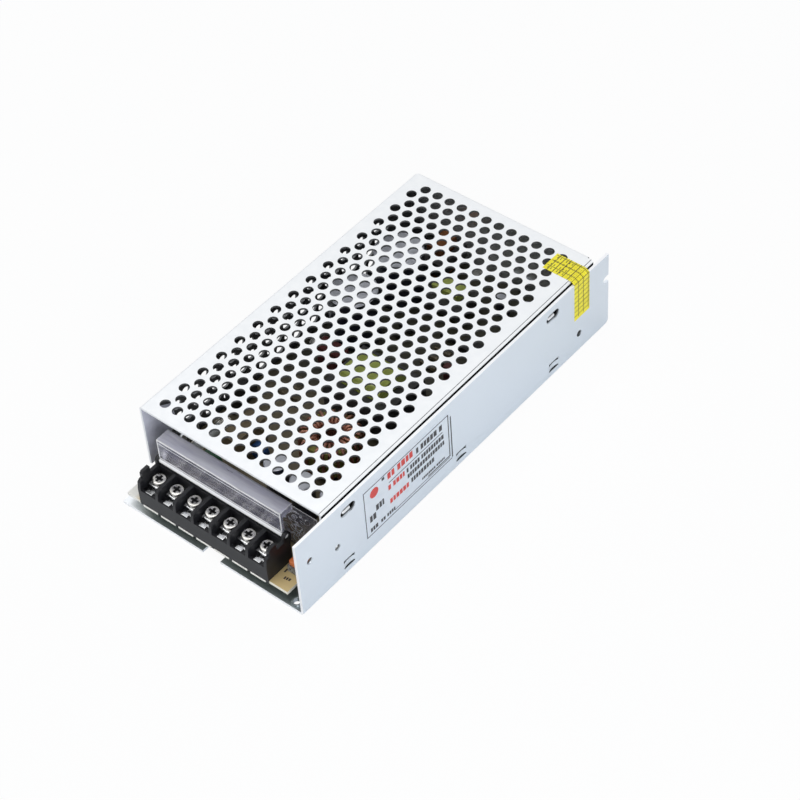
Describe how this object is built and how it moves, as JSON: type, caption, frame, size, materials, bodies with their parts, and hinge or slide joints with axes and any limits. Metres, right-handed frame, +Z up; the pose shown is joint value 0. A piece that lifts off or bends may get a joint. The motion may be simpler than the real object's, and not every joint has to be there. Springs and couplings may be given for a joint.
{
  "type": "enclosed switching power supply",
  "caption": "Metal-cased switching power supply with a perforated cover, a barrier terminal block with a hinged clear flap, and an output trimmer.",
  "frame": {"origin": "centre of the outside box, on the underside of the tray", "axes": "+Z up from the tray's floor, +Y from the terminals towards the back, +X towards the tray's wall"},
  "size_m": [0.097, 0.199, 0.042],
  "materials": {
    "aluminium_sheet": "satin, bare",
    "steel_sheet": "pale zinc coat, matt",
    "zinc_steel": "zinc plated",
    "nickel_steel": "nickel plated",
    "nickel_brass": "nickel plated",
    "tinned_brass": "tinned",
    "black_film": "smooth sheet",
    "clear_film": "clear sheet",
    "clear_plastic": "clear moulding, slight violet tint",
    "laminate": "paper laminate",
    "black_plastic": "moulded",
    "orange_plastic": "moulded",
    "red_plastic": "moulded",
    "green_lens": "diffused",
    "fuse_glass": "glass tube with metal caps",
    "box_plastic": "potted box",
    "ferrite": "sintered",
    "copper_wire": "enamelled",
    "yellow_tape": "polyester tape",
    "dark_ceramic": "dipped",
    "blue_ceramic": "dipped",
    "grey_silicone": "thin pad",
    "can_sleeve": "sleeved cans",
    "label_film": null,
    "yellow_film": null
  },
  "bodies": {
    "case": {"tray": "aluminium_sheet", "cover": "steel_sheet", "cover_screws": "zinc_steel", "board_screws": "zinc_steel", "device_screws": "zinc_steel", "board_spacers": "nickel_brass", "insulating_sheet": "black_film", "barrier_sheet": "clear_film", "circuit_board": "laminate", "terminal_block": "black_plastic", "terminal_contacts": "tinned_brass", "trimmer_base": "black_plastic", "indicator_lamp": "green_lens", "input_fuse": "fuse_glass", "fuse_clips": "tinned_brass", "x_capacitor": "box_plastic", "film_capacitors": "box_plastic", "filter_core": "ferrite", "drive_core": "ferrite", "transformer_core": "ferrite", "choke_core": "ferrite", "filter_winding": "copper_wire", "choke_winding": "copper_wire", "transformer_winding": "yellow_tape", "drive_winding": "yellow_tape", "transformer_bobbin": "black_plastic", "choke_base": "black_plastic", "thermistor": "dark_ceramic", "disc_capacitor": "blue_ceramic", "bridge_rectifier": "black_plastic", "power_transistors": "black_plastic", "output_rectifier": "black_plastic", "insulating_pads": "grey_silicone", "bulk_capacitors": "can_sleeve", "output_capacitors": "can_sleeve", "small_capacitors": "can_sleeve", "controller_chip": "black_plastic", "resistors": "dark_ceramic", "diodes": "black_plastic", "selector_body": "black_plastic", "rating_label": "label_film", "seal_sticker": "yellow_film"},
    "flap": {"terminal_flap": "clear_plastic"},
    "dial": {"trimmer_dial": "orange_plastic"},
    "slider": {"selector_slider": "red_plastic"},
    "clamp_1": {"clamp_washer_1": "nickel_steel"},
    "screw_1": {"terminal_screw_1": "nickel_steel"},
    "clamp_2": {"clamp_washer_2": "nickel_steel"},
    "screw_2": {"terminal_screw_2": "nickel_steel"},
    "clamp_3": {"clamp_washer_3": "nickel_steel"},
    "screw_3": {"terminal_screw_3": "nickel_steel"},
    "clamp_4": {"clamp_washer_4": "nickel_steel"},
    "screw_4": {"terminal_screw_4": "nickel_steel"},
    "clamp_5": {"clamp_washer_5": "nickel_steel"},
    "screw_5": {"terminal_screw_5": "nickel_steel"},
    "clamp_6": {"clamp_washer_6": "nickel_steel"},
    "screw_6": {"terminal_screw_6": "nickel_steel"},
    "clamp_7": {"clamp_washer_7": "nickel_steel"},
    "screw_7": {"terminal_screw_7": "nickel_steel"}
  },
  "joints": [
    {"name": "flap_hinge", "type": "hinge", "parent": "case", "child": "flap", "pos_m": [0, -0.0851, 0.0206], "axis": [1, 0, 0], "range_deg": [0, 90]},
    {"name": "dial_turn", "type": "hinge", "parent": "case", "child": "dial", "pos_m": [0.0357, -0.0861, 0.0098], "axis": [0, 0, 1], "range_deg": [-105, 105]},
    {"name": "selector_slide", "type": "slide", "parent": "case", "child": "slider", "axis": [0, 1, 0], "range_m": [0, 0.0036]},
    {"name": "clamp_slide_1", "type": "slide", "parent": "case", "child": "clamp_1", "axis": [0, 0, 1], "range_m": [-0.0013, 0.0022]},
    {"name": "screw_turn_1", "type": "hinge", "parent": "clamp_1", "child": "screw_1", "pos_m": [-0.03359, -0.091, 0.0152], "axis": [0, 0, 1], "range_deg": [-940, 1590]},
    {"name": "clamp_slide_2", "type": "slide", "parent": "case", "child": "clamp_2", "axis": [0, 0, 1], "range_m": [-0.0013, 0.0022]},
    {"name": "screw_turn_2", "type": "hinge", "parent": "clamp_2", "child": "screw_2", "pos_m": [-0.02396, -0.091, 0.0152], "axis": [0, 0, 1], "range_deg": [-940, 1590]},
    {"name": "clamp_slide_3", "type": "slide", "parent": "case", "child": "clamp_3", "axis": [0, 0, 1], "range_m": [-0.0013, 0.0022]},
    {"name": "screw_turn_3", "type": "hinge", "parent": "clamp_3", "child": "screw_3", "pos_m": [-0.01433, -0.091, 0.0152], "axis": [0, 0, 1], "range_deg": [-940, 1590]},
    {"name": "clamp_slide_4", "type": "slide", "parent": "case", "child": "clamp_4", "axis": [0, 0, 1], "range_m": [-0.0013, 0.0022]},
    {"name": "screw_turn_4", "type": "hinge", "parent": "clamp_4", "child": "screw_4", "pos_m": [-0.0047, -0.091, 0.0152], "axis": [0, 0, 1], "range_deg": [-940, 1590]},
    {"name": "clamp_slide_5", "type": "slide", "parent": "case", "child": "clamp_5", "axis": [0, 0, 1], "range_m": [-0.0013, 0.0022]},
    {"name": "screw_turn_5", "type": "hinge", "parent": "clamp_5", "child": "screw_5", "pos_m": [0.00493, -0.091, 0.0152], "axis": [0, 0, 1], "range_deg": [-940, 1590]},
    {"name": "clamp_slide_6", "type": "slide", "parent": "case", "child": "clamp_6", "axis": [0, 0, 1], "range_m": [-0.0013, 0.0022]},
    {"name": "screw_turn_6", "type": "hinge", "parent": "clamp_6", "child": "screw_6", "pos_m": [0.01456, -0.091, 0.0152], "axis": [0, 0, 1], "range_deg": [-940, 1590]},
    {"name": "clamp_slide_7", "type": "slide", "parent": "case", "child": "clamp_7", "axis": [0, 0, 1], "range_m": [-0.0013, 0.0022]},
    {"name": "screw_turn_7", "type": "hinge", "parent": "clamp_7", "child": "screw_7", "pos_m": [0.02419, -0.091, 0.0152], "axis": [0, 0, 1], "range_deg": [-940, 1590]}
  ],
  "couplings": [
    {"joint": "screw_turn_1", "follows": "clamp_slide_1", "rad_per_m": 12566},
    {"joint": "screw_turn_2", "follows": "clamp_slide_2", "rad_per_m": 12566},
    {"joint": "screw_turn_3", "follows": "clamp_slide_3", "rad_per_m": 12566},
    {"joint": "screw_turn_4", "follows": "clamp_slide_4", "rad_per_m": 12566},
    {"joint": "screw_turn_5", "follows": "clamp_slide_5", "rad_per_m": 12566},
    {"joint": "screw_turn_6", "follows": "clamp_slide_6", "rad_per_m": 12566},
    {"joint": "screw_turn_7", "follows": "clamp_slide_7", "rad_per_m": 12566}
  ]
}
